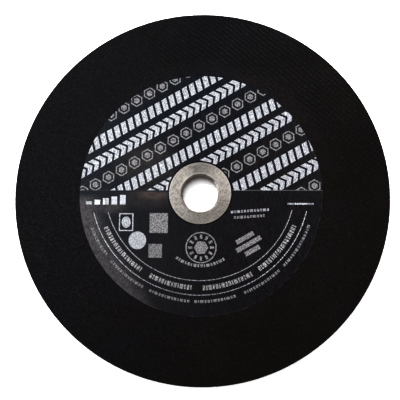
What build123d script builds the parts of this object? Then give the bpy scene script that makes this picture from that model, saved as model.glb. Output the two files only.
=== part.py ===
from build123d import *
import math
import os

# A flat, resin-bonded grinding disc. A round printed paper label is pressed into
# its face, and a steel ring lines its bore. All lengths are in millimetres.
# The origin is on the bore axis, in the back face. +Z runs along the bore towards
# the labelled face, and +Y points to the patterned half of the label.

# Abrasive body
disc_diameter = 230.0
disc_thickness = 8.0
rim_bevel = 0.4

# Steel ring in the bore
bore_diameter = 22.23
ring_wall = 8.0
ring_proud_of_face = 0.3
bore_mouth_widening = 0.75
bore_mouth_depth = 3.0
bore_back_bevel = 0.5
ring_outer_bevel = 0.3
ring_bond_gap = 0.02

# Paper label
label_diameter = 149.0
label_thickness = 0.3
label_press_depth = 0.2
label_ring_gap = 0.65
label_edge_gap = 0.05

# Ink. The print is drawn for a label of artwork_diameter and grows or shrinks with it.
artwork_diameter = 149.0
ink_thickness = 0.05
ink_edge_margin = 0.25
smallest_ink_area = 0.6

# Diagonal rows that fill the upper half of the print
division_height = 1.7
row_angle = 30.0
row_height = 7.2
row_gap = 4.1
first_row_height = 3.0
row_shift = 3.7
chevron_band = 3.3
chevron_point = 2.7
chevron_gap = 1.5
hexagon_stroke = 0.85
hexagon_core_diameter = 3.6
hexagon_gap = 0.9
bar_width = 3.4
bar_slant = 2.0
bar_gap = 1.5

# Stepped gauge and short rule, at the two ends of the plain half
gauge_left = -70.3
gauge_base = -7.1
gauge_first_height = 2.0
gauge_last_height = 6.0
gauge_steps = 5
gauge_bar_width = 3.6
gauge_bar_gap = 1.65
rule_centre = (61.0, -6.5)
rule_length = 15.8
rule_height = 1.1

# Rows of small marks
mark_widths = (1.5, 0.9, 2.1, 1.2)
mark_gap = 0.55
upper_line_centre = (30.4, -10.8)
upper_line_length = 23.2
lower_line_centre = (30.6, -14.3)
lower_line_length = 20.0
line_mark_height = 1.7
line_tilt = 4.0

# Plain fields left of the ring
frame_centre = (-45.1, -17.9)
frame_size = (8.9, 11.0)
frame_stroke = 0.75
oval_radii = (2.8, 3.5)
large_square_centre = (-25.1, -18.4)
large_square_size = (11.3, 12.3)
small_square_centre = (-27.0, -35.3)
small_square_size = (8.3, 8.4)
spot_centre = (-38.0, -29.0)
spot_diameter = 10.9

# Dial mark below the ring, with a curved row of marks under it
dial_centre = (0.8, -33.2)
dial_diameter = 19.0
dial_stroke = 0.8
dial_ticks = 12
dial_tick_length = 2.6
dial_tick_width = 1.5
dial_core_diameter = 7.6
caption_rise = 14.1
caption_radius = 25.0
caption_mark_height = 1.9
caption_angles = (-127.0, -53.0)

# Three slanted bars right of the dial
stripe_centre = (29.5, -31.0)
stripe_lengths = (10.0, 17.0, 12.0)
stripe_width = 2.9
stripe_gap = 1.5

# Two curved rules around the plain half, with rows of marks beside them
curve_centre = (-0.5, 5.5)
outer_rule_radius = 67.1
curve_rule_spacing = 8.6
curve_rule_width = 0.6
inner_rule_angles = (-163.0, -15.5)
outer_rule_angles = (-165.0, -14.2)
large_mark_height = 2.9
large_mark_groups = ((-155.2, -122.9), (-118.1, -91.9), (-87.8, -59.4), (-55.1, -22.2))
fine_marks_outside_rule = 3.8
fine_mark_height = 1.7
fine_mark_groups = (
    (-157.6, -141.4),
    (-138.5, -117.2),
    (-114.8, -94.4),
    (-92.1, -71.2),
    (-67.5, -46.7),
    (-44.2, -20.5),
)

# Worked out from the sizes above
disc_radius = disc_diameter / 2
bore_radius = bore_diameter / 2
ring_radius = bore_radius + ring_wall
ring_top = disc_thickness + ring_proud_of_face
label_radius = label_diameter / 2
label_hole_radius = ring_radius + label_ring_gap
label_bottom = disc_thickness - label_press_depth
label_top = label_bottom + label_thickness
artwork_radius = artwork_diameter / 2
artwork_growth = label_diameter / artwork_diameter
row_pitch = row_height + row_gap
caption_centre = (dial_centre[0], dial_centre[1] + caption_rise)
inner_rule_radius = outer_rule_radius - curve_rule_spacing
large_marks_radius = outer_rule_radius - curve_rule_spacing / 2
fine_marks_radius = outer_rule_radius + fine_marks_outside_rule


def tube(outer_radius, inner_radius, bottom, top):
    """A plain ring between two levels."""
    section = Circle(outer_radius) - Circle(inner_radius)
    return Pos(0, 0, bottom) * extrude(section, top - bottom)


def circles_at(solid, radius, level):
    """The solid's round edges of one radius at one level."""
    edges = solid.edges().filter_by(GeomType.CIRCLE)
    at_level = [e for e in edges if abs(e.center().Z - level) < 1e-4]
    return [e for e in at_level if abs(e.radius - radius) < 1e-4]


def make_abrasive_disc():
    """The pressed body, with a seat for the ring and a shallow bed for the label."""
    seat_radius = ring_radius + ring_bond_gap
    body = tube(disc_radius, seat_radius, 0, disc_thickness)
    rim = circles_at(body, disc_radius, 0) + circles_at(body, disc_radius, disc_thickness)
    body = chamfer(rim, rim_bevel)
    bed = Circle(label_radius + label_edge_gap)
    return body - Pos(0, 0, label_bottom) * extrude(bed, label_press_depth)


def make_bore_ring():
    """The steel ring, with a mouth that widens to the front and small bevels elsewhere."""
    ring = tube(ring_radius, bore_radius, 0, ring_top)
    mouth = Cone(bore_radius, bore_radius + bore_mouth_widening, bore_mouth_depth)
    ring -= Pos(0, 0, ring_top - bore_mouth_depth / 2) * mouth
    ring = chamfer(circles_at(ring, bore_radius, 0), bore_back_bevel)
    return chamfer(circles_at(ring, ring_radius, ring_top), ring_outer_bevel)


def make_paper_label():
    """The round paper label, with a hole that clears the ring."""
    return tube(label_radius, label_hole_radius, label_bottom, label_top)


def block(*points):
    """A flat shape with straight sides."""
    return Polygon(*points, align=None)


def rectangle_at(centre, size):
    """An upright rectangle of one size."""
    return Pos(*centre) * Rectangle(*size)


def chevron():
    """A solid arrowhead band that points along its row."""
    half = row_height / 2
    left = -(chevron_band + chevron_point) / 2
    return block(
        (left, -half),
        (left + chevron_band, -half),
        (left + chevron_band + chevron_point, 0),
        (left + chevron_band, half),
        (left, half),
        (left + chevron_point, 0),
    )


def slanted_bar():
    """A solid bar that leans along its row."""
    half = row_height / 2
    foot = -(bar_width + bar_slant) / 2
    return block(
        (foot, -half),
        (foot + bar_width, -half),
        (foot + bar_width + bar_slant, half),
        (foot + bar_slant, half),
    )


def hexagon(across_flats):
    """A hexagon with flats above and below."""
    return RegularPolygon(across_flats / math.sqrt(3), 6)


def hollow_hexagon():
    """An outlined hexagon with a small solid one inside it."""
    inner = hexagon(row_height - 2 * hexagon_stroke)
    return hexagon(row_height) - inner + hexagon(hexagon_core_diameter)


def row_of(shape, pitch, row):
    """Copies of one shape along a diagonal row that crosses the whole print."""
    height = first_row_height + row * row_pitch
    count = math.ceil(artwork_radius / pitch)
    shift = (row * row_shift) % pitch
    turn = Rot(0, 0, row_angle)
    return [turn * Pos(shift + step * pitch, height) * shape for step in range(-count, count)]


def diagonal_rows():
    """The solid and the outlined shapes of the diagonal rows, in turn row by row."""
    hexagon_pitch = 2 * row_height / math.sqrt(3) + hexagon_gap
    reach = math.ceil(artwork_radius / row_pitch)
    solid = []
    outlined = []
    for row in range(-reach, reach + 1):
        if row % 3 == 0:
            outlined += row_of(hollow_hexagon(), hexagon_pitch, row)
        elif row % 3 == 1:
            solid += row_of(chevron(), chevron_band + chevron_gap, row)
        else:
            solid += row_of(slanted_bar(), bar_width + bar_gap, row)
    return solid, outlined


def mark_spans(length):
    """Start and width of each small mark along a row of one length."""
    spans = []
    start = 0.0
    while True:
        width = mark_widths[len(spans) % len(mark_widths)]
        if start + width > length:
            return spans
        spans.append((start, width))
        start += width + mark_gap


def straight_marks(centre, length, height):
    """A slightly tilted row of small marks."""
    row = Pos(*centre) * Rot(0, 0, line_tilt)
    return [
        row * Pos(start + width / 2 - length / 2, 0) * Rectangle(width, height)
        for start, width in mark_spans(length)
    ]


def curved_marks(centre, radius, height, angles):
    """Small marks along an arc, from its first angle to its second."""
    first, last = angles
    marks = []
    for start, width in mark_spans(math.radians(last - first) * radius):
        angle = first + math.degrees((start + width / 2) / radius)
        marks.append(Pos(*centre) * Rot(0, 0, angle) * Pos(radius, 0) * Rectangle(height, width))
    return marks


def curved_rule(radius, angles):
    """A thin line along an arc about the centre of the curved rules."""
    first, last = angles
    outer = CenterArc(curve_centre, radius + curve_rule_width / 2, first, last - first)
    inner = CenterArc(curve_centre, radius - curve_rule_width / 2, first, last - first)
    return make_face([outer, inner, Line(outer @ 0, inner @ 0), Line(outer @ 1, inner @ 1)])


def gauge():
    """A row of bars that rise in equal steps."""
    bars = []
    rise = (gauge_last_height - gauge_first_height) / (gauge_steps - 1)
    for step in range(gauge_steps):
        height = gauge_first_height + step * rise
        left = gauge_left + step * (gauge_bar_width + gauge_bar_gap)
        centre = (left + gauge_bar_width / 2, gauge_base + height / 2)
        bars.append(rectangle_at(centre, (gauge_bar_width, height)))
    return bars


def dial():
    """A ring of ticks around a solid hexagon, inside a thin circle."""
    here = Pos(*dial_centre)
    radius = dial_diameter / 2
    rim = Circle(radius) - Circle(radius - dial_stroke)
    tick_radius = radius - 2 * dial_stroke - dial_tick_length / 2
    tick = Pos(tick_radius, 0) * Rectangle(dial_tick_length, dial_tick_width)
    ticks = [here * Rot(0, 0, 360 * n / dial_ticks) * tick for n in range(dial_ticks)]
    return [here * rim, here * hexagon(dial_core_diameter)] + ticks


def stripes():
    """Slanted bars of unlike lengths, side by side."""
    here = Pos(*stripe_centre) * Rot(0, 0, row_angle)
    middle = (len(stripe_lengths) - 1) / 2
    return [
        here * Pos(0, (n - middle) * (stripe_width + stripe_gap)) * Rectangle(length, stripe_width)
        for n, length in enumerate(stripe_lengths)
    ]


def framed_oval():
    """A thin frame and the oval inside it."""
    inner_size = (frame_size[0] - 2 * frame_stroke, frame_size[1] - 2 * frame_stroke)
    frame = rectangle_at(frame_centre, frame_size) - rectangle_at(frame_centre, inner_size)
    return [frame, Pos(*frame_centre) * Ellipse(*oval_radii)]


def plain_half_white():
    """The white marks of the plain half."""
    marks = gauge() + framed_oval()
    marks.append(rectangle_at(rule_centre, (rule_length, rule_height)))
    marks.append(Pos(*spot_centre) * Circle(spot_diameter / 2))
    marks.append(curved_rule(inner_rule_radius, inner_rule_angles))
    marks.append(curved_rule(outer_rule_radius, outer_rule_angles))
    marks += straight_marks(upper_line_centre, upper_line_length, line_mark_height)
    return marks


def plain_half_grey():
    """The grey marks of the plain half."""
    marks = [
        rectangle_at(large_square_centre, large_square_size),
        rectangle_at(small_square_centre, small_square_size),
    ]
    marks += dial() + stripes()
    marks += straight_marks(lower_line_centre, lower_line_length, line_mark_height)
    marks += curved_marks(caption_centre, caption_radius, caption_mark_height, caption_angles)
    for angles in large_mark_groups:
        marks += curved_marks(curve_centre, large_marks_radius, large_mark_height, angles)
    for angles in fine_mark_groups:
        marks += curved_marks(curve_centre, fine_marks_radius, fine_mark_height, angles)
    return marks


def print_windows():
    """The printable parts of the label above and below the dividing line."""
    inner_radius = label_hole_radius + ink_edge_margin
    whole = Circle(label_radius - ink_edge_margin) - Circle(inner_radius)
    level = division_height * artwork_growth
    upper = Pos(0, level) * Rectangle(label_diameter, label_diameter, align=(Align.CENTER, Align.MIN))
    return whole & upper, whole - upper


def inked(marks, window):
    """Thin solids of ink on the label, one for each piece of a mark inside the window."""
    sheet = Compound(marks).scale(artwork_growth)
    solids = []
    for mark in sheet.faces():
        kept = mark & window
        if kept is None:
            continue
        for face in kept.faces():
            if face.area > smallest_ink_area:
                solids.append(Pos(0, 0, label_top) * extrude(face, ink_thickness, dir=(0, 0, 1)))
    return solids


upper_window, lower_window = print_windows()
solid_shapes, outlined_shapes = diagonal_rows()
white_ink = inked(solid_shapes, upper_window) + inked(plain_half_white(), lower_window)
grey_ink = inked(outlined_shapes, upper_window) + inked(plain_half_grey(), lower_window)

parts = {
    "abrasive_disc": make_abrasive_disc(),
    "bore_ring": make_bore_ring(),
    "paper_label": make_paper_label(),
    "white_print": Compound(children=white_ink),
    "grey_print": Compound(children=grey_ink),
}

os.makedirs("parts", exist_ok=True)
for name, shape in parts.items():
    export_step(shape, f"parts/{name}.step")
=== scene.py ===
"""Dresses a packed grinding disc: pressed abrasive body, steel bore ring, paper label, inks and studio."""

import math
import random

import bmesh
import bpy
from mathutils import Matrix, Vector, noise


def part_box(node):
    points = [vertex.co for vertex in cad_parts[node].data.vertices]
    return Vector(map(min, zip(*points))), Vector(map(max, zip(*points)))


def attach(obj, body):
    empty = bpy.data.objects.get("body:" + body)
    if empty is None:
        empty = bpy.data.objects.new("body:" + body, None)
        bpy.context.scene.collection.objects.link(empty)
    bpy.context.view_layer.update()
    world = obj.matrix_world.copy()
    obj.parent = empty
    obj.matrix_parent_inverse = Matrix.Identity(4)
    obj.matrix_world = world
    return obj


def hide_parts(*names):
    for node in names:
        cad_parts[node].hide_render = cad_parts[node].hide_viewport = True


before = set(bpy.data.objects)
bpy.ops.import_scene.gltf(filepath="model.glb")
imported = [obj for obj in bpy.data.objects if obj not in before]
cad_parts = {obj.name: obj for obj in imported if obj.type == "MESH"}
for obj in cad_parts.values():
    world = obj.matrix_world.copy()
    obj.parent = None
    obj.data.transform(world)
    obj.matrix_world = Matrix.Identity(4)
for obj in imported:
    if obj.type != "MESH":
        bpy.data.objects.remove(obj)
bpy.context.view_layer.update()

bl_info = {
    "name": "Grinding disc",
    "version": (1, 0, 0),
    "blender": (4, 5, 0),
    "location": "3D View > Sidebar > Grinding disc",
    "description": "Makes the detailed pieces of a packed grinding disc and its studio",
    "category": "Object",
}

BODY_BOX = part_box("abrasive_disc")
RING_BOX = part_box("bore_ring")
LABEL_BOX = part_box("paper_label")
MM = 0.001
FULL_TURN = 2 * math.pi
SHARP_ANGLE = math.radians(40)
# distance between two rows of triangles, as a share of their side
ROW_PITCH = 0.866
# fewest points in one circle of a turned mesh
FEWEST_AROUND = 48
BODY_SEED = 11
RING_SEED = 5

# the woven cloth: bearings of its two threads, and the bearing at which it is pressed in most
WEFT_BEARING = math.radians(50)
WARP_BEARING = math.radians(-41)
CLEAREST_BEARING = math.radians(52)

# nicks and worn stretches of the ring's mouth: (bearing and half width in degrees, depth in mm)
NICKS = (
    (109, 4.5, 0.34),
    (98, 3, 0.2),
    (84, 3, 0.22),
    (74, 4.5, 0.34),
    (12, 4, 0.38),
    (-4, 3, 0.2),
    (-15, 4, 0.26),
    (-22, 3, 0.34),
    (-29, 4, 0.26),
    (-84, 4, 0.16),
    (-100, 5, 0.2),
)

# wear of the mouth in mm: everywhere, and at most in the rubbed stretches of its upper part
LEAST_WEAR = 0.02
RUBBED_WEAR = 0.16

# softboxes: (name, setting with its power, tilt from straight above, azimuth from +X, width in metres)
PART_LAMPS = (
    ("left_softbox", "left_power", 27, 182, 0.5),
    ("upper_left_softbox", "high_power", 56, 138, 0.9),
    ("upper_right_softbox", "fill_power", 54, 38, 0.9),
)
FLOOR_LAMPS = (
    ("paper_softbox", "paper_power", 27, 106, 0.7),
    ("paper_fill_softbox", "paper_fill_power", 10, -60, 0.6),
)


# soft ovals on the front, where a finish changes


def oval(x, y, half_width, half_height):
    """A place on the front, from millimetres from the bore's axis to metres."""
    return x * MM, y * MM, half_width * MM, half_height * MM


CLOTH_AND_SHEEN = oval(66, 78, 80, 64)
CLOTH_CLEAR_RIGHT = oval(80, 62, 30, 30)
CLOTH_CLEAR_TOP = oval(28, 98, 50, 18)
DUSTY_LEFT = oval(-84, -30, 52, 88)

STEEL_HIGHLIGHT_RIGHT = oval(9.2, 12.6, 12.5, 8.5)
STEEL_HIGHLIGHT_LEFT = oval(-9.2, 12.5, 7.5, 6)
STEEL_CLEAN_BELOW = oval(-4, -15.5, 9, 6)
STEEL_DARK_LOWER_RIGHT = oval(13.2, -9.2, 11, 11)
STEEL_DARK_TOP = oval(-2.2, 15.3, 3.2, 3)
WALL_RUBBED_AND_HIGHLIGHT = oval(-5.5, -9.8, 4.5, 4)
WALL_BROWN = oval(11, -3.8, 5.8, 7.8)
WALL_SHADE = oval(-11.5, 0.3, 4, 5)

BROWN_SHEEN_SPOT = oval(-32, 17, 27, 20)
RUBBED_SHEEN_PATCH = oval(-57, -8.5, 17, 6.5)
BROWN_MARK = oval(-28.5, 0, 19.5, 8.2)
BROWN_HALO = oval(-31, 0, 26, 13.5)

GAUGE = oval(-58, -4, 15, 7)
PLAIN_SPOT = oval(-38, -29, 8, 8)
SMALL_SQUARE = oval(-27, -35.3, 8.5, 8.5)
INK_BRIGHTER_LEFT = oval(-48, 22, 45, 34)
THINNER_MARKS = oval(28.5, -9.5, 17.5, 4.2)
THINNER_DASH = oval(58.5, -6.3, 14, 4)


# settings


def length(name, default, description):
    return bpy.props.FloatProperty(
        name=name, default=default, description=description, unit="LENGTH", precision=6
    )


def colour(name, default, description):
    return bpy.props.FloatVectorProperty(
        name=name, default=default, description=description, subtype="COLOR", size=3, min=0, max=1
    )


def share(name, default, description):
    return bpy.props.FloatProperty(
        name=name, default=default, description=description, subtype="FACTOR", min=0, max=1
    )


def power(name, default, description):
    return bpy.props.FloatProperty(name=name, default=default, description=description, unit="POWER", min=0)


def ratio(name, default, description):
    return bpy.props.FloatProperty(name=name, default=default, description=description, min=0)


class BodySettings(bpy.types.PropertyGroup):
    """Sizes and colours of the pressed abrasive body."""

    bevel: length("Rim bevel", 0.4 * MM, "Width of the bevel at both edges of the rim")
    ring_clearance: length("Ring clearance", 0.02 * MM, "Bond line between body and ring")
    bed_clearance: length("Bed clearance", 0.05 * MM, "How far the label's bed is wider than the label")
    front_cell: length("Front mesh size", 0.64 * MM, "Side of the front face's triangles")
    back_cell: length("Back mesh size", 1.5 * MM, "Side of the back face's triangles")
    rim_cell: length("Rim mesh size", 1.05 * MM, "Side of the rim's triangles")
    bed_cell: length("Bed mesh size", 3.0 * MM, "Side of the triangles under the label")
    front_pitch: length("Front thread pitch", 2.6 * MM, "Spacing of the glass threads under the front face")
    back_pitch: length("Back thread pitch", 4.6 * MM, "Spacing of the glass threads under the back face")
    thread_depth: length("Thread depth", 0.15 * MM, "How deep the resin sinks between the threads")
    grit_depth: length("Grit depth", 0.03 * MM, "Height of the single grains on the faces")
    rim_depth: length("Rim roughness", 0.14 * MM, "Depth of the pits in the trued rim")
    cool_black: colour("Cool black", (0.0038, 0.0036, 0.0053), "Resin on the left")
    warm_black: colour("Warm black", (0.0037, 0.0025, 0.0018), "Resin on the lower right")
    rust: colour("Rust", (0.0047, 0.0033, 0.0034), "Reddish patches in the resin")
    dust: colour("Dust", (0.0055, 0.0055, 0.0062), "Pale dust that sits in patches")
    grain_light: ratio("Grain brightness", 6.0, "Bare abrasive grains, as a multiple of the resin")
    # crests over the threads: partly worn resin, partly a painted highlight
    crest_wear_and_highlight: ratio("Thread brightness", 5.4, "Crests over the threads, as a multiple of the resin")


class RingSettings(bpy.types.PropertyGroup):
    """Sizes and colours of the steel ring."""

    bore_radius: length("Bore radius", 11.115 * MM, "Radius of the bore")
    mouth: length("Mouth widening", 0.62 * MM, "How far the bore is wider at its front edge")
    mouth_depth: length("Mouth depth", 3.0 * MM, "Depth over which the bore narrows to its own size")
    mouth_edge: length("Mouth edge", 0.07 * MM, "Rounding of the bore's front edge")
    back_bevel: length("Back bevel", 0.5 * MM, "Bevel at the bore's back edge")
    outer_bevel: length("Outer bevel", 0.12 * MM, "Bevel at the ring's outer edge")
    cell: length("Mesh size", 0.42 * MM, "Side of the ring's triangles")
    pit_depth: length("Pit depth", 0.05 * MM, "Depth of the pits in the front face")
    grit_depth: length("Grit depth", 0.006 * MM, "Fine grain on every side of the ring")
    wall_depth: length("Wall roughness", 0.03 * MM, "Unevenness of the bore's wall")
    steel: colour("Steel", (0.45, 0.430, 0.410), "Bare metal of the faces")
    stain: colour("Stain", (0.22, 0.199, 0.177), "Darker skin in the pits and marks")
    # bright steel: rubbed metal, and the colour of the painted highlights on the ring's face and of the
    # painted bright wall in the bore
    bare: colour("Bare steel", (0.72, 0.69, 0.64), "Rubbed steel of the bore and of the cleanest patches")
    # dark brown of the bore's wall
    wall: colour("Bore wall", (0.2, 0.16, 0.142), "Brown skin on the wall of the bore")
    stained: share("Stained share", 0.7, "How dark the skin is where it is thickest")


class LabelSettings(bpy.types.PropertyGroup):
    """Sizes and colours of the paper label."""

    cell: length("Mesh size", 1.1 * MM, "Side of the label's triangles")
    ring_gap: length("Ring gap", 0.65 * MM, "Gap between the ring and the label's hole")
    soft_edge: length("Soft edge", 0.06 * MM, "Bevel at the cut edges of the paper")
    wave: length("Wave height", 0.012 * MM, "Unevenness of the paper over the pressed face")
    division: length("Division line", 1.75 * MM, "Height of the line between the two halves")
    black: colour("Black", (0.0040, 0.0060, 0.0114), "Printed black ground, towards the upper left")
    warm_black: colour("Warm black", (0.0108, 0.0090, 0.0115), "Printed black, towards the lower right")
    # painted brownish sheen beside the ring
    brown_sheen: colour("Haze", (0.046, 0.040, 0.040), "Dried paste beside the ring")
    # rubbed paper near the lower left edge, also painted sheen
    scuff_and_sheen: colour("Scuff", (0.110, 0.101, 0.104), "Rubbed paper near the lower left edge")
    stain: colour("Stain", (0.100, 0.080, 0.074), "Brown mark beside the ring")
    core: colour("Paper core", (0.2, 0.2, 0.2), "Cut edge of the paper")


class InkSettings(bpy.types.PropertyGroup):
    """Colours and wear of the two inks, and the places of the two curved rules."""

    white: colour("White", (0.465, 0.475, 0.505), "White ink")
    grey: colour("Grey", (0.295, 0.288, 0.298), "Grey ink")
    curve_x: length("Curve centre X", -0.5 * MM, "Centre of the two curved rules")
    curve_y: length("Curve centre Y", 5.5 * MM, "Centre of the two curved rules")
    inner_rule: length("Inner rule radius", 58.5 * MM, "Radius of the inner curved rule")
    outer_rule: length("Outer rule radius", 67.1 * MM, "Radius of the outer curved rule")
    white_wear: share("White wear", 0.16, "How much of the white ink is worn thin")
    grey_wear: share("Grey wear", 0.42, "How much of the grey ink is worn thin")
    edge_wear: share("Edge wear", 0.35, "How much both inks are worn near the label's lower edge")


class StudioSettings(bpy.types.PropertyGroup):
    """Camera, lamps and floor."""

    camera_place: bpy.props.FloatVectorProperty(
        name="Camera place",
        default=(0.0121, -0.0406, 0.3189),
        description="Where the camera stands",
        subtype="XYZ",
        unit="LENGTH",
    )
    camera_turn: bpy.props.FloatVectorProperty(
        name="Camera turn",
        default=(math.radians(6.68), math.radians(2.19), math.radians(0.32)),
        description="How the camera is turned",
        subtype="EULER",
    )
    lens: bpy.props.FloatProperty(
        name="Lens", default=46.1, description="Focal length for a sensor 36 mm wide", unit="CAMERA"
    )
    floor_side: length("Floor side", 12.0, "Side of the square floor")
    floor_drop: length("Floor drop", 0.1 * MM, "Gap between the disc's back and the floor")
    contrast: ratio("Gamma", 0.6, "Display gamma of the picture")
    sky: ratio("Sky", 0.03, "Strength of the light from all round")
    left_power: power("Left power", 3.3, "Power of the softbox on the left")
    high_power: power("Upper left power", 19.4, "Power of the softbox at the upper left")
    fill_power: power("Upper right power", 15.0, "Power of the softbox at the upper right")
    paper_power: power("Paper power", 19.2, "Power of the softbox that only lights the floor")
    paper_fill_power: power("Paper fill power", 2.1, "Power of the overhead fill for the floor alone")
    lamp_distance: length("Lamp distance", 1.1, "Distance of each softbox from the disc")


SETTINGS = {
    "disc_body": BodySettings,
    "disc_ring": RingSettings,
    "disc_label": LabelSettings,
    "disc_inks": InkSettings,
    "disc_studio": StudioSettings,
}


# turned meshes


def walk(corners):
    """Points along a closed profile, each with its outward normal, run name and mesh size.

    A corner is (radius, height, run, cell). Its run goes to the next corner, and the
    profile goes round anticlockwise as it is seen with the axis on the left."""
    points = []
    count = len(corners)
    facing = []
    for i in range(count):
        (r0, z0), (r1, z1) = corners[i][:2], corners[(i + 1) % count][:2]
        far = math.hypot(r1 - r0, z1 - z0)
        facing.append(((z1 - z0) / far, (r0 - r1) / far, far))
    for i, (r0, z0, run, cell) in enumerate(corners):
        r1, z1 = corners[(i + 1) % count][:2]
        out_r, out_z, far = facing[i]
        before_r, before_z, _ = facing[i - 1]
        parts = max(1, round(far / (cell * ROW_PITCH)))
        for k in range(parts):
            t = k / parts
            nr, nz = (out_r, out_z) if k else (out_r + before_r, out_z + before_z)
            size = math.hypot(nr, nz) or 1.0
            points.append((r0 + (r1 - r0) * t, z0 + (z1 - z0) * t, nr / size, nz / size, run, cell))
    return points


def zipped(first, first_count, second, second_count):
    """Triangles between two closed loops that may have different numbers of points."""
    faces = []
    i = j = 0
    while i < first_count or j < second_count:
        a, b = first + i % first_count, second + j % second_count
        behind = (i + 1) * second_count <= (j + 1) * first_count
        if j >= second_count or (i < first_count and behind):
            faces.append((a, first + (i + 1) % first_count, b))
            i += 1
        else:
            faces.append((a, second + (j + 1) % second_count, b))
            j += 1
    return faces


def turned_piece(name, corners, relief, finishes, deepest):
    """A closed turned form. relief(run, x, y, z) gives how far a point moves outward.

    finishes gives the runs that each finish covers. The crest attribute is 1 where a point
    stays on the form and 0 where it sinks by deepest."""
    points = walk(corners)
    vertices, crests, starts, counts = [], [], [], []
    for r, z, nr, nz, run, cell in points:
        around = max(FEWEST_AROUND, round(FULL_TURN * r / cell))
        starts.append(len(vertices))
        counts.append(around)
        for k in range(around):
            turn = FULL_TURN * k / around
            c, s = math.cos(turn), math.sin(turn)
            moved = relief(run, r * c, r * s, z)
            vertices.append(((r + moved * nr) * c, (r + moved * nr) * s, z + moved * nz))
            crests.append(min(1.0, max(0.0, 1 + moved / deepest)))
    order = list(finishes)
    slot_of_run = {run: order.index(finish) for finish in order for run in finishes[finish]}
    faces, slots = [], []
    for i, point in enumerate(points):
        after = (i + 1) % len(points)
        band = zipped(starts[i], counts[i], starts[after], counts[after])
        faces += band
        slots += [slot_of_run[point[4]]] * len(band)
    mesh = bpy.data.meshes.new(name)
    mesh.from_pydata(vertices, [], faces)
    for finish in order:
        mesh.materials.append(bpy.data.materials[finish])
    mesh.polygons.foreach_set("material_index", slots)
    mesh.attributes.new("crest", "FLOAT", "POINT").data.foreach_set("value", crests)
    mesh.update()
    mesh.shade_smooth()
    mesh.set_sharp_from_angle(angle=SHARP_ANGLE)
    piece = bpy.data.objects.new(name, mesh)
    bpy.context.scene.collection.objects.link(piece)
    return piece


def rough(x, y, z, size, seed=0.0):
    """Smooth noise from -1 to 1 with features of about that size, in metres."""
    return noise.noise(Vector((x / size + seed, y / size - seed, z / size + 2 * seed)))


def eased(value, low, high):
    """0 at low and 1 at high, with a soft start and end."""
    t = min(1.0, max(0.0, (value - low) / (high - low)))
    return t * t * (3 - 2 * t)


def threads(x, y, pitch, cross=1.0):
    """Height of a woven glass cloth under the resin, from 0 between the threads to 1 on them.

    The threads wander a little. cross is how far the warp shows beside the weft."""
    bend_x = 1.3 * MM * rough(x, y, 0, 34 * MM, 3.1) + 0.4 * MM * rough(x, y, 0, 9 * MM, 5.3)
    bend_y = 1.3 * MM * rough(x, y, 0, 31 * MM, 7.7) + 0.4 * MM * rough(x, y, 0, 8 * MM, 2.4)
    u = ((x + bend_x) * math.cos(WEFT_BEARING) + (y + bend_y) * math.sin(WEFT_BEARING)) / pitch
    v = ((x + bend_y) * math.cos(WARP_BEARING) + (y - bend_x) * math.sin(WARP_BEARING)) / pitch
    weft = (0.5 + 0.5 * math.cos(FULL_TURN * u)) ** 1.6
    warp = (0.5 + 0.5 * math.cos(FULL_TURN * v)) ** 1.6
    over = math.cos(math.pi * u) * math.cos(math.pi * v)
    return max(weft * (1 - 0.3 * cross * (1 - over)), cross * warp * (0.7 - 0.3 * over))


# finishes


def toned(shade, factor):
    """A colour that is lighter or darker by the factor."""
    return tuple(factor * channel for channel in shade)


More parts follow.
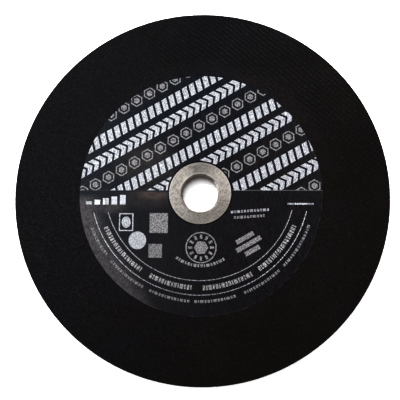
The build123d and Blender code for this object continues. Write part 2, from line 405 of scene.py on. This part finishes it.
class Finish:
    """A Principled material that is built up from noise, masks and mixes."""

    def __init__(self, name, roughness, specular, metallic=0.0):
        self.material = bpy.data.materials.new(name)
        self.material.use_nodes = True
        self.tree = self.material.node_tree
        self.shader = self.tree.nodes["Principled BSDF"]
        self.shader.inputs["Roughness"].default_value = roughness
        self.shader.inputs["Specular IOR Level"].default_value = specular
        self.shader.inputs["Metallic"].default_value = metallic
        self.place = self.tree.nodes.new("ShaderNodeTexCoord").outputs["Object"]

    def node(self, kind, **settings):
        made = self.tree.nodes.new(kind)
        for key, value in settings.items():
            setattr(made, key, value)
        return made

    def feed(self, socket, value):
        """Link a value that varies, or set one that doesn't."""
        if isinstance(value, bpy.types.NodeSocket):
            self.tree.links.new(value, socket)
        else:
            socket.default_value = (*value, 1) if socket.type == "RGBA" and len(value) == 3 else value

    def maths(self, kind, *values):
        made = self.node("ShaderNodeMath", operation=kind)
        for socket, value in zip(made.inputs, values):
            self.feed(socket, value)
        return made.outputs[0]

    def folded(self, kind, values):
        made = values[0]
        for value in values[1:]:
            made = self.maths(kind, made, value)
        return made

    def product(self, *values):
        return self.folded("MULTIPLY", values)

    def total(self, *values):
        return self.folded("ADD", values)

    def largest(self, *values):
        return self.folded("MAXIMUM", values)

    def apart(self, one, other):
        """How far two values lie apart."""
        return self.maths("ABSOLUTE", self.maths("SUBTRACT", one, other))

    def axis(self, letter):
        made = self.node("ShaderNodeSeparateXYZ")
        self.feed(made.inputs[0], self.place)
        return made.outputs[letter]

    def along(self, x_share, y_share):
        """A value that grows over the face in one direction: x_share of X and y_share of Y."""
        return self.total(self.product(self.axis("X"), x_share), self.product(self.axis("Y"), y_share))

    def away_from(self, x, y):
        """Distance in the face's plane from a point given in metres."""
        dx = self.maths("SUBTRACT", self.axis("X"), x)
        dy = self.maths("SUBTRACT", self.axis("Y"), y)
        return self.maths("SQRT", self.total(self.product(dx, dx), self.product(dy, dy)))

    def radius(self):
        return self.away_from(0.0, 0.0)

    def crest(self):
        return self.node("ShaderNodeAttribute", attribute_name="crest").outputs["Fac"]

    def noise(self, x, y, z, detail=2.0, harsh=0.5, turn=0.0):
        """Noise with features of about these sizes in millimetres, turned about Z in radians."""
        placed = self.node("ShaderNodeMapping", vector_type="TEXTURE")
        self.feed(placed.inputs["Vector"], self.place)
        placed.inputs["Rotation"].default_value = (0, 0, turn)
        placed.inputs["Scale"].default_value = (x * MM, y * MM, z * MM)
        made = self.node("ShaderNodeTexNoise")
        self.feed(made.inputs["Vector"], placed.outputs["Vector"])
        made.inputs["Scale"].default_value = 1.0
        made.inputs["Detail"].default_value = detail
        made.inputs["Roughness"].default_value = harsh
        return made.outputs["Fac"]

    def ramp(self, value, low, high, start=0.0, end=1.0, smooth=True):
        """From start, where the value is low or less, to end, where it is high or more."""
        made = self.node("ShaderNodeMapRange", interpolation_type="SMOOTHSTEP" if smooth else "LINEAR")
        self.feed(made.inputs["Value"], value)
        for socket, number in (("From Min", low), ("From Max", high), ("To Min", start), ("To Max", end)):
            made.inputs[socket].default_value = number
        return made.outputs["Result"]

    def spot(self, place, core=0.25):
        """A soft oval: 1 in its core, which is this share of it, and 0 at its edge."""
        x, y, half_width, half_height = place
        placed = self.node("ShaderNodeMapping", vector_type="TEXTURE")
        self.feed(placed.inputs["Vector"], self.place)
        placed.inputs["Location"].default_value = (x, y, 0)
        placed.inputs["Scale"].default_value = (half_width, half_height, 1)
        far = self.node("ShaderNodeVectorMath", operation="LENGTH")
        self.feed(far.inputs[0], placed.outputs[0])
        return self.ramp(far.outputs["Value"], 1.0, core)

    def mix(self, share_of_second, first, second):
        made = self.node("ShaderNodeMix", data_type="RGBA")
        self.feed(made.inputs[0], share_of_second)
        self.feed(made.inputs[6], first)
        self.feed(made.inputs[7], second)
        return made.outputs[2]

    def scaled(self, colours, factor):
        made = self.node("ShaderNodeVectorMath", operation="SCALE")
        self.feed(made.inputs[0], colours)
        made.inputs["Scale"].default_value = factor
        return made.outputs[0]

    def boosted(self, where, colours, factor):
        """The colours, multiplied by the factor where the mask is 1."""
        return self.mix(where, colours, self.scaled(colours, factor))

    def bump(self, height, distance, strength):
        made = self.node("ShaderNodeBump")
        made.inputs["Distance"].default_value = distance
        made.inputs["Strength"].default_value = strength
        self.feed(made.inputs["Height"], height)
        self.feed(self.shader.inputs["Normal"], made.outputs["Normal"])

    def paint(self, colours, roughness=None):
        self.feed(self.shader.inputs["Base Color"], colours)
        if roughness is not None:
            self.feed(self.shader.inputs["Roughness"], roughness)


def abrasive_finish(name, given, bared):
    """Black resin with bare grains. bared moves the share of bare grains up."""
    finish = Finish(name, roughness=0.8, specular=0.26)
    speckle = finish.noise(0.85, 0.85, 0.85, detail=4.0, harsh=0.7)
    streak = finish.noise(2.8, 0.6, 1.0, detail=3.0, harsh=0.65, turn=math.radians(47))
    fine = finish.total(finish.product(speckle, 0.58), finish.product(streak, 0.42))
    cloud = finish.noise(26, 26, 26, detail=2.0, harsh=0.55)
    patch = finish.noise(38, 31, 30, detail=3.0, harsh=0.6, turn=0.8)
    drift = finish.total(finish.along(6.2, -3.3), cloud)
    base = finish.mix(finish.ramp(drift, 0.1, 1.0), given.cool_black, given.warm_black)
    base = finish.mix(finish.ramp(patch, 0.4, 0.72, end=0.55), base, given.rust)
    base = finish.mix(finish.ramp(cloud, 0.45, 0.8, end=0.4), base, given.dust)
    # the cloth shows through most at the upper right, where the resin is also lightened as painted sheen
    base = finish.boosted(finish.spot(CLOTH_AND_SHEEN, core=0.3), base, 1.6)
    clearest = finish.largest(finish.spot(CLOTH_CLEAR_RIGHT), finish.spot(CLOTH_CLEAR_TOP))
    # thread crests are lighter: partly worn resin baring the glass, partly a painted highlight that stands
    # in for the weave's shading
    worn_and_highlit_crests = finish.product(
        finish.ramp(finish.crest(), 0.4, 1.0),
        finish.ramp(fine, 0.4, 0.62, start=0.2),
        finish.ramp(clearest, 0.0, 1.0, start=0.66),
    )
    raised = finish.boosted(worn_and_highlit_crests, base, given.crest_wear_and_highlight)
    # pale grains stand out most in the dusty patch on the left
    dusty = finish.product(finish.spot(DUSTY_LEFT, core=0.15), finish.ramp(cloud, 0.3, 0.6, start=0.5))
    pale = finish.product(finish.ramp(fine, 0.5, 0.62), finish.ramp(dusty, 0.0, 1.0, start=0.12, end=0.95))
    grains = finish.largest(finish.ramp(fine, 0.62 - bared, 0.76 - bared), pale)
    grained = finish.mix(grains, raised, finish.scaled(base, given.grain_light))
    finish.paint(grained, finish.ramp(fine, 0.3, 0.7, start=0.9, end=0.7))
    finish.bump(fine, 0.05 * MM, 0.7)
    return finish.material


def steel_finish(name, given):
    """Pressed steel with scratches, a dark skin in its pits, painted highlights, cleaner steel below and
    darker patches.
    """
    finish = Finish(name, roughness=0.55, specular=0.5, metallic=0.85)
    finish.shader.inputs["Anisotropic"].default_value = 0.6
    finish.shader.inputs["Anisotropic Rotation"].default_value = 0.25
    circles = finish.node("ShaderNodeTangent", direction_type="RADIAL", axis="Z")
    finish.feed(finish.shader.inputs["Tangent"], circles.outputs[0])
    scratches = finish.noise(3.2, 0.55, 2.0, detail=3.0, harsh=0.6, turn=math.radians(52))
    skin = finish.noise(1.5, 1.2, 1.3, detail=4.0, harsh=0.62)
    patch = finish.noise(6, 6, 6, detail=1.0)
    marks = finish.total(finish.product(skin, 0.5), finish.product(scratches, 0.5))
    dark = finish.ramp(marks, 0.38, 0.6, start=given.stained, end=0.0)
    worn = finish.ramp(patch, 0.35, 0.65, start=0.9)
    face = finish.mix(worn, given.stain, finish.mix(dark, given.steel, given.stain))
    # painted highlights at the upper right, the upper left and on the outer lip, and cleaner steel below
    below = finish.product(finish.spot(STEEL_CLEAN_BELOW), 0.6)
    lip = finish.product(finish.ramp(finish.radius(), 17.4 * MM, 18.6 * MM), 0.9)
    clean_and_highlight = finish.largest(finish.spot(STEEL_HIGHLIGHT_RIGHT), finish.spot(STEEL_HIGHLIGHT_LEFT), below, lip)
    face = finish.mix(finish.product(clean_and_highlight, 0.18), face, given.bare)
    # crisp inner edge, lighter at the upper left as a painted highlight
    upper_left = finish.ramp(finish.along(-0.35, 1.0), 4 * MM, 10 * MM)
    inner = finish.product(finish.ramp(finish.radius(), 13.4 * MM, 12.2 * MM), upper_left)
    face = finish.mix(finish.product(inner, 0.44), face, given.bare)
    # darker at the lower right, a dark blotch at the top, and darker along the inner edge below
    top_blotch = finish.product(finish.spot(STEEL_DARK_TOP), 0.45)
    lower_half = finish.ramp(finish.axis("Y"), 4 * MM, -2 * MM)
    edge = finish.product(finish.ramp(finish.radius(), 13.1 * MM, 12.4 * MM), lower_half)
    darkened = finish.largest(finish.spot(STEEL_DARK_LOWER_RIGHT), top_blotch, edge)
    darkening = finish.product(darkened, finish.ramp(skin, 0.3, 0.6, start=0.65, end=0.4))
    finish.paint(finish.mix(darkening, face, given.stain), finish.ramp(marks, 0.4, 0.6, start=0.65, end=0.47))
    finish.bump(marks, 0.08 * MM, 0.8)
    return finish.material


def bore_finish(name, given):
    """Dark brown steel, bright on the right and below as rubbed metal and painted highlight, and darker on
    the left as painted shade.
    """
    finish = Finish(name, roughness=0.42, specular=0.5, metallic=0.7)
    skin = finish.noise(1.4, 1.4, 2.4, detail=3.0, harsh=0.6)
    # the right and lower right of the wall are painted bright: partly rubbed metal, partly a painted
    # highlight where lamps and paper light the wall
    lower_right = finish.ramp(finish.along(0.82, -0.57), 1.8 * MM, 4.8 * MM)
    rubbed = finish.largest(lower_right, finish.spot(WALL_RUBBED_AND_HIGHLIGHT))
    kept = finish.ramp(finish.spot(WALL_BROWN), 0.0, 1.0, start=1.0, end=0.08)
    bare = finish.product(rubbed, kept, finish.ramp(skin, 0.3, 0.6, start=0.6))
    # darker blotches, and painted shade on the left of the wall
    darker = finish.largest(finish.ramp(skin, 0.35, 0.65, end=0.5), finish.spot(WALL_SHADE))
    browned = finish.mix(darker, given.wall, toned(given.wall, 0.4))
    finish.paint(finish.mix(bare, browned, given.bare), finish.ramp(skin, 0.35, 0.65, start=0.5, end=0.36))
    finish.bump(skin, 0.05 * MM, 0.7)
    return finish.material


def label_finish(name, given):
    """Printed black paper with a linen grain, painted brownish sheen beside the ring, rubbed and painted
    sheen at the lower left, and stained in places.
    """
    finish = Finish(name, roughness=0.4, specular=0.38)
    finish.shader.inputs["Specular Tint"].default_value = (0.91, 0.955, 1.0, 1.0)
    grain = finish.noise(0.35, 5.0, 3.0, detail=3.0, harsh=0.6)
    fibre = finish.noise(0.5, 0.9, 1.0, detail=2.0, harsh=0.6)
    speckle = finish.noise(1.1, 1.7, 1.2, detail=3.0, harsh=0.75)
    cloud = finish.noise(6.0, 3.5, 4.0, detail=4.0, harsh=0.65)
    lower_right = finish.along(1.0, -1.0)
    black = finish.mix(finish.ramp(lower_right, -90 * MM, 40 * MM), given.black, given.warm_black)
    ground = finish.boosted(finish.ramp(grain, 0.4, 0.75), black, 1.6)
    ground = finish.boosted(finish.ramp(fibre, 0.48, 0.66, end=0.9), ground, 2.3)
    # painted brownish sheen beside the ring, in the patterned half
    brown_sheen = finish.product(finish.spot(BROWN_SHEEN_SPOT), finish.ramp(cloud, 0.35, 0.62, start=0.45))
    ground = finish.mix(brown_sheen, ground, given.brown_sheen)
    # rubbed band along the lower left edge, and a rubbed patch beside it, both also painted sheen
    left = finish.ramp(finish.along(0.97, 0.25), -54 * MM, -71 * MM)
    lower_left = finish.ramp(finish.along(0.85, 0.5), -54 * MM, -67 * MM, end=0.82)
    band = finish.product(
        finish.largest(left, lower_left),
        finish.ramp(finish.axis("Y"), 1 * MM, -6 * MM),
        finish.ramp(finish.radius(), 56 * MM, 68 * MM, start=0.15),
    )
    rubbed = finish.product(
        finish.largest(band, finish.product(finish.spot(RUBBED_SHEEN_PATCH), 0.6)),
        finish.ramp(speckle, 0.36, 0.64, start=0.5, end=1.2),
        finish.ramp(cloud, 0.33, 0.55, start=0.75),
    )
    ground = finish.mix(rubbed, ground, given.scuff_and_sheen)
    # brown mark under the joint of the two printed halves, with a wide faint halo
    brown = finish.product(
        finish.largest(finish.spot(BROWN_MARK, core=0.12), finish.product(finish.spot(BROWN_HALO), 0.42)),
        finish.ramp(finish.axis("Y"), 1.5 * MM, 0.4 * MM),
        finish.ramp(cloud, 0.3, 0.6, start=0.45),
    )
    ground = finish.mix(brown, ground, given.stain)
    # faint joint of the two printed halves, clearer towards the right
    joint = finish.product(
        finish.ramp(finish.apart(finish.axis("Y"), given.division), 0.4 * MM, 0.15 * MM),
        finish.ramp(finish.axis("X"), -30 * MM, 30 * MM, start=0.12, end=0.6),
    )
    ground = finish.mix(joint, ground, given.core)
    # frayed edge, which shows the paper's core at the lower right
    frayed = finish.product(
        finish.ramp(finish.radius(), 73.6 * MM, 74.2 * MM),
        finish.ramp(lower_right, 10 * MM, 50 * MM, end=0.16),
        finish.ramp(cloud, 0.45, 0.6),
    )
    ground = finish.mix(frayed, ground, given.core)
    finish.paint(ground, finish.ramp(grain, 0.35, 0.7, start=0.34, end=0.46))
    finish.bump(finish.total(finish.product(grain, 0.6), finish.product(fibre, 0.4)), 0.012 * MM, 0.8)
    return finish.material


def paper_edge_finish(name, given):
    """Cut paper, black on its edge, with its pale core bared at the lower right."""
    finish = Finish(name, roughness=0.9, specular=0.04)
    fibre = finish.noise(0.4, 0.4, 0.1, detail=2.0, harsh=0.6)
    lower_right = finish.ramp(finish.along(1.0, -1.0), 0.0, 60 * MM, start=0.05, end=0.2)
    bared = finish.product(finish.ramp(fibre, 0.3, 0.7, start=0.1, end=0.6), lower_right)
    finish.paint(finish.mix(bared, given.black, given.core))
    finish.bump(fibre, 0.02 * MM, 0.5)
    return finish.material


def ink_finish(name, given, ink, ground, wear):
    """Ink that took the paper's linen grain, worn thin in patches and near the lower edge."""
    finish = Finish(name, roughness=0.62, specular=0.25)
    warp = finish.noise(0.36, 1.8, 2.0, detail=2.0, harsh=0.6)
    weft = finish.noise(1.3, 0.36, 2.0, detail=2.0, harsh=0.6)
    blotch = finish.noise(0.75, 0.75, 0.75, detail=4.0, harsh=0.7)
    film = finish.total(finish.product(warp, 0.38), finish.product(weft, 0.27), finish.product(blotch, 0.35))
    # the gauge and the spot took more ink, and more evenly
    gauge = finish.spot(GAUGE, core=0.8)
    even = finish.largest(gauge, finish.product(finish.spot(PLAIN_SPOT, core=0.8), 0.7))
    uneven = finish.ramp(even, 0.0, 1.0, start=1.0, end=0.45)
    thin = finish.product(finish.ramp(film, 0.4, 0.56, start=wear, end=0.0), uneven)
    tone = finish.total(finish.product(finish.ramp(film, 0.4, 0.6), uneven), finish.product(even, 0.2))
    full = finish.mix(tone, toned(ink, 0.5), toned(ink, 1.4))
    full = finish.boosted(gauge, full, 1.3)
    # the left of the patterned half is a little brighter, and the lines at the right took less
    patterned = finish.ramp(finish.axis("Y"), 1 * MM, 2 * MM)
    full = finish.boosted(finish.product(finish.spot(INK_BRIGHTER_LEFT, core=0.3), patterned), full, 1.07)
    dash = finish.product(finish.spot(THINNER_DASH, core=0.6), 0.65)
    full = finish.boosted(finish.largest(finish.spot(THINNER_MARKS, core=0.6), dash), full, 0.68)
    # in the plain half, the marks between and beyond the curved rules are brighter
    below = finish.ramp(finish.axis("Y"), 1 * MM, 0.0, smooth=False)
    from_curve = finish.away_from(given.curve_x, given.curve_y)
    marks = finish.product(
        below,
        finish.ramp(from_curve, 59 * MM, 59.5 * MM),
        finish.ramp(finish.axis("Y"), -62 * MM, -40 * MM, start=0.1),
        finish.ramp(film, 0.46, 0.58, end=0.8),
    )
    full = finish.boosted(marks, full, 1.8)
    # the curved rules are worn most, near the bottom above all
    inner_gap = finish.apart(from_curve, given.inner_rule)
    outer_gap = finish.apart(from_curve, given.outer_rule)
    rules = finish.product(
        below,
        finish.ramp(finish.maths("MINIMUM", inner_gap, outer_gap), 0.6 * MM, 0.45 * MM),
        finish.ramp(finish.axis("Y"), -30 * MM, -60 * MM, start=0.36, end=0.6),
        finish.ramp(film, 0.42, 0.56, start=1.3, end=0.6),
    )
    faded = finish.product(below, finish.ramp(finish.radius(), 63.5 * MM, 66.5 * MM, end=given.edge_wear))
    # the small square took less ink
    pale = finish.product(finish.spot(SMALL_SQUARE, core=0.75), 0.2)
    bared = finish.largest(thin, faded, rules, pale)
    finish.paint(finish.mix(bared, full, ground), finish.ramp(film, 0.35, 0.65, start=0.75, end=0.5))
    finish.bump(film, 0.02 * MM, 0.6)
    return finish.material


def floor_finish(name):
    """White paper that glows a little outside the disc, and more far away, so that it stays white."""
    finish = Finish(name, roughness=0.9, specular=0.1)
    weave = finish.noise(0.8, 0.8, 0.8)
    finish.paint(finish.mix(weave, (0.88, 0.88, 0.88), (0.9, 0.9, 0.9)))
    near = finish.ramp(finish.radius(), 105 * MM, 118 * MM, end=0.75)
    far = finish.ramp(finish.radius(), 0.4, 2.0, end=0.2)
    finish.shader.inputs["Emission Color"].default_value = (1, 1, 1, 1)
    finish.feed(finish.shader.inputs["Emission Strength"], finish.total(near, far))
    return finish.material


def backdrop_finish(name):
    """An even pale glow for the dome behind the floor."""
    finish = Finish(name, roughness=0.9, specular=0.0)
    finish.paint((0.9, 0.9, 0.9))
    finish.shader.inputs["Emission Color"].default_value = (1, 1, 1, 1)
    finish.shader.inputs["Emission Strength"].default_value = 0.95
    return finish.material


# pieces


class DISC_OT_abrasive_body(bpy.types.Operator):
    """Make the pressed body with its woven imprint, gritty faces and trued rim"""

    bl_idname = "disc.abrasive_body"
    bl_label = "Abrasive body"

    def execute(self, context):
        given = context.scene.disc_body
        grains = random.Random(BODY_SEED)
        inner = RING_BOX[1].x + given.ring_clearance
        outer, top = BODY_BOX[1].x, BODY_BOX[1].z
        bed = LABEL_BOX[0].z
        bed_edge = LABEL_BOX[1].x + given.bed_clearance
        bevel = given.bevel
        corners = [
            (inner, 0, "back", given.back_cell),
            (outer - bevel, 0, "edge", given.rim_cell),
            (outer, bevel, "rim", given.rim_cell),
            (outer, top - bevel, "edge", given.rim_cell),
            (outer - bevel, top, "front", given.front_cell),
            (bed_edge, top, "step", given.rim_cell),
            (bed_edge, bed, "bed", given.bed_cell),
            (inner, bed, "hole", given.rim_cell),
        ]

        def front_imprint(x, y, z):
            """The cloth's imprint, clearest at the upper right and faint beside the label."""
            lean = max(0.0, math.cos(math.atan2(y, x) - CLEAREST_BEARING)) ** 2
            pressed = 0.16 + 0.84 * lean * min(1.15, 0.85 + 0.9 * rough(x, y, z, 24 * MM, 1.3))
            quiet = eased(math.hypot(x, y), bed_edge, bed_edge + 14 * MM)
            cross = 0.35 + 0.5 * eased(x, 30 * MM, 90 * MM)
            return given.thread_depth * quiet * pressed * (threads(x, y, given.front_pitch, cross) - 1)

        def relief(run, x, y, z):
            grit = -given.grit_depth * grains.random() ** 1.5
            if run == "front":
                return grit + front_imprint(x, y, z)
            if run == "back":
                quiet = eased(math.hypot(x, y), inner, inner + 3 * MM)
                return quiet * (grit + given.thread_depth * (threads(-x, y, given.back_pitch) - 1))
            if run in ("rim", "edge"):
                pits = 0.5 + 0.5 * rough(x, y, z, 1.4 * MM, 2.2)
                return grit - given.rim_depth * (0.6 * pits + 0.4 * grains.random() ** 2)
            return 0.0

        abrasive_finish("resin_face", given, bared=0.0)
        abrasive_finish("trued_rim", given, bared=0.1)
        finishes = {"resin_face": ("back", "front", "step", "bed", "hole"), "trued_rim": ("rim", "edge")}
        deepest = given.thread_depth + given.grit_depth
        body = turned_piece("pressed_body", corners, relief, finishes, deepest)
        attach(body, "root")
        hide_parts("abrasive_disc")
        return {"FINISHED"}


class DISC_OT_bore_ring(bpy.types.Operator):
    """Make the pressed steel ring with its widened, nicked mouth"""

    bl_idname = "disc.bore_ring"
    bl_label = "Bore ring"

    def execute(self, context):
        given = context.scene.disc_ring
        grains = random.Random(RING_SEED)
        outer, top = RING_BOX[1].x, RING_BOX[1].z
        bore = given.bore_radius
        bevel = given.outer_bevel
        mouth = bore + given.mouth
        edge = given.mouth_edge
        cell = given.cell
        corners = [
            (bore + given.back_bevel, 0, "back", 2 * cell),
            (outer - bevel, 0, "outer", cell),
            (outer, bevel, "outer", 2 * cell),
            (outer, top - bevel, "lip", cell),
            (outer - bevel, top, "face", cell),
            (mouth + edge, top, "mouth", cell),
            (mouth + 0.3 * edge, top - 0.3 * edge, "mouth", cell),
            (mouth, top - edge, "taper", cell),
            (bore, top - given.mouth_depth, "wall", cell),
            (bore, given.back_bevel, "wall", cell),
        ]

        def mouth_dent(x, y, z):
            """How far the mouth is worn back, in millimetres: a little all round, more in the nicks."""
            angle = math.degrees(math.atan2(y, x))
            upper = eased(z, top - 1.2 * MM, top - 0.2 * MM)
            lower_left = eased(0.3 * x - 0.95 * y, -3 * MM, 8 * MM)
            worn = lower_left + max(0.0, rough(x, y, 0, 0.9 * MM, 6.1)) ** 0.7
            dent = LEAST_WEAR + RUBBED_WEAR * upper * worn
            for bearing, half, depth in NICKS:
                away = abs((angle - bearing + 180) % 360 - 180) / half
                if away < 1:
                    dent = max(dent, depth * (1 - away * away) * upper)
            return dent

        def relief(run, x, y, z):
            grit = -given.grit_depth * grains.random()
            if run in ("face", "lip"):
                pits = max(0.0, rough(x, y, z, 0.9 * MM, 4.4) - 0.25)
                hollow = 0.5 - 0.5 * rough(x, y, z, 3.4 * MM, 1.9)
                return grit - given.pit_depth * (1.3 * pits + 0.35 * hollow)
            if run in ("mouth", "taper"):
                return grit - mouth_dent(x, y, z) * MM
            if run == "wall":
                return grit - given.wall_depth * (0.5 + 0.5 * rough(x, y, 3 * z, 1.6 * MM, 8.0))
            return grit

        steel_finish("pressed_steel", given)
        bore_finish("bore_skin", given)
        finishes = {
            "pressed_steel": ("back", "outer", "lip", "face"),
            "bore_skin": ("mouth", "taper", "wall"),
        }
        ring = turned_piece("pressed_ring", corners, relief, finishes, given.pit_depth)
        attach(ring, "root")
        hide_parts("bore_ring")
        return {"FINISHED"}


class DISC_OT_paper_label(bpy.types.Operator):
    """Make the printed paper label, with a slight wave in its face"""

    bl_idname = "disc.paper_label"
    bl_label = "Paper label"

    def execute(self, context):
        given = context.scene.disc_label
        outer, low, top = LABEL_BOX[1].x, LABEL_BOX[0].z, LABEL_BOX[1].z
        hole = RING_BOX[1].x + given.ring_gap
        soft = given.soft_edge
        under_cell = 3 * MM
        outer_cell = 0.9 * MM
        hole_cell = 0.6 * MM
        corners = [
            (hole, low, "under", under_cell),
            (outer, low, "cut", outer_cell),
            (outer, top - soft, "cut", outer_cell),
            (outer - soft, top, "paper", given.cell),
            (hole + soft, top, "cut", hole_cell),
            (hole, top - soft, "cut", hole_cell),
        ]

        def relief(run, x, y, z):
            if run != "paper":
                return 0.0
            r = math.hypot(x, y)
            inside = eased(r, hole, hole + 2 * MM) * eased(outer - r, 0, 1.5 * MM)
            wave = 0.6 * rough(x, y, z, 11 * MM, 5.5) + 0.4 * rough(x, y, z, 4 * MM, 9.1)
            return given.wave * inside * (wave - 0.2)

        label_finish("printed_paper", given)
        paper_edge_finish("cut_paper", given)
        finishes = {"printed_paper": ("paper",), "cut_paper": ("cut", "under")}
        label = turned_piece("pressed_label", corners, relief, finishes, given.wave)
        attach(label, "root")
        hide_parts("paper_label")
        return {"FINISHED"}


class DISC_OT_inks(bpy.types.Operator):
    """Give both prints their mottled, worn ink"""

    bl_idname = "disc.inks"
    bl_label = "Inks"

    def execute(self, context):
        given = context.scene.disc_inks
        black = context.scene.disc_label.black
        for node, ink, wear in (
            ("white_print", given.white, given.white_wear),
            ("grey_print", given.grey, given.grey_wear),
        ):
            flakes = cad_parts[node]
            if not flakes.material_slots:
                raise RuntimeError(f"{node} has no material slot")
            made = ink_finish(f"{node}_ink", given, ink, black, wear)
            for held in flakes.material_slots:
                held.material = made
        return {"FINISHED"}


class DISC_OT_studio(bpy.types.Operator):
    """Set up the white floor, the soft lamps and the camera"""

    bl_idname = "disc.studio"
    bl_label = "Studio"

    def floor(self, scene, half, level):
        mesh = bpy.data.meshes.new("paper_floor")
        mesh.from_pydata(
            [(-half, -half, level), (half, -half, level), (half, half, level), (-half, half, level)],
            [],
            [(0, 1, 2, 3)],
        )
        mesh.materials.append(floor_finish("white_paper"))
        floor = bpy.data.objects.new("paper_floor", mesh)
        scene.collection.objects.link(floor)
        return floor

    def backdrop(self, scene, radius, level):
        """A pale dome behind the floor. Only the camera sees it, so it lights nothing."""
        shell = bmesh.new()
        bmesh.ops.create_uvsphere(shell, u_segments=64, v_segments=32, radius=radius)
        foot = level - 0.1 * radius
        under = [v for v in shell.verts if v.co.z < foot]
        bmesh.ops.delete(shell, geom=under, context="VERTS")
        mesh = bpy.data.meshes.new("pale_backdrop")
        shell.to_mesh(mesh)
        shell.free()
        mesh.shade_smooth()
        mesh.materials.append(backdrop_finish("pale_backdrop"))
        dome = bpy.data.objects.new("pale_backdrop", mesh)
        scene.collection.objects.link(dome)
        for rays in ("diffuse", "glossy", "shadow", "transmission", "volume_scatter"):
            setattr(dome, f"visible_{rays}", False)

    def receivers(self, name, floor, state):
        """A collection that lets a lamp light only the floor (INCLUDE) or all but the floor (EXCLUDE)."""
        group = bpy.data.collections.new(name)
        group.objects.link(floor)
        group.collection_objects[0].light_linking.link_state = state
        return group

    def softbox(self, scene, name, watts, tilt, azimuth, width, receivers):
        """An area lamp aimed at the disc. tilt is from straight above, azimuth from +X, in degrees."""
        light = bpy.data.lights.new(name, "AREA")
        light.shape = "SQUARE"
        light.size = width
        light.energy = watts
        lamp = bpy.data.objects.new(name, light)
        scene.collection.objects.link(lamp)
        lean, turn = math.radians(tilt), math.radians(azimuth)
        aim = Vector((math.sin(lean) * math.cos(turn), math.sin(lean) * math.sin(turn), math.cos(lean)))
        lamp.location = aim * scene.disc_studio.lamp_distance
        lamp.rotation_euler = (-aim).to_track_quat("-Z", "Y").to_euler()
        lamp.light_linking.receiver_collection = receivers

    def camera(self, scene):
        given = scene.disc_studio
        view = bpy.data.cameras.new("photo_camera")
        view.sensor_width = 36
        view.lens = given.lens
        view.clip_start = 0.01
        view.clip_end = 50
        camera = bpy.data.objects.new("photo_camera", view)
        scene.collection.objects.link(camera)
        camera.location = given.camera_place
        camera.rotation_euler = given.camera_turn
        scene.camera = camera

    def execute(self, context):
        scene = context.scene
        given = scene.disc_studio
        half = given.floor_side / 2
        level = BODY_BOX[0].z - given.floor_drop
        floor = self.floor(scene, half, level)
        self.backdrop(scene, half, level)

        world = bpy.data.worlds.new("studio_sky")
        world.use_nodes = True
        world.node_tree.nodes["Background"].inputs["Color"].default_value = (1, 1, 1, 1)
        world.node_tree.nodes["Background"].inputs["Strength"].default_value = given.sky
        scene.world = world
        for lamps, receivers in (
            (PART_LAMPS, self.receivers("lit_all_but_floor", floor, "EXCLUDE")),
            (FLOOR_LAMPS, self.receivers("lit_floor_only", floor, "INCLUDE")),
        ):
            for name, setting, tilt, azimuth, width in lamps:
                self.softbox(scene, name, getattr(given, setting), tilt, azimuth, width, receivers)

        self.camera(scene)
        scene.view_settings.view_transform = "Standard"
        scene.view_settings.gamma = given.contrast
        return {"FINISHED"}


class DISC_PT_pieces(bpy.types.Panel):
    """Lists the pieces of the grinding disc"""

    bl_idname = "DISC_PT_pieces"
    bl_label = "Grinding disc"
    bl_space_type = "VIEW_3D"
    bl_region_type = "UI"
    bl_category = "Grinding disc"

    def draw(self, context):
        for maker in OPERATORS:
            self.layout.operator(maker.bl_idname)


OPERATORS = (
    DISC_OT_abrasive_body,
    DISC_OT_bore_ring,
    DISC_OT_paper_label,
    DISC_OT_inks,
    DISC_OT_studio,
)
CLASSES = (*SETTINGS.values(), *OPERATORS, DISC_PT_pieces)


def register():
    for cls in CLASSES:
        bpy.utils.register_class(cls)
    for name, group in SETTINGS.items():
        setattr(bpy.types.Scene, name, bpy.props.PointerProperty(type=group))


def unregister():
    for name in SETTINGS:
        delattr(bpy.types.Scene, name)
    for cls in reversed(CLASSES):
        bpy.utils.unregister_class(cls)


def main():
    register()
    bpy.ops.disc.abrasive_body()
    bpy.ops.disc.bore_ring()
    bpy.ops.disc.paper_label()
    bpy.ops.disc.inks()
    bpy.ops.disc.studio()


if __name__ == "__main__":
    main()
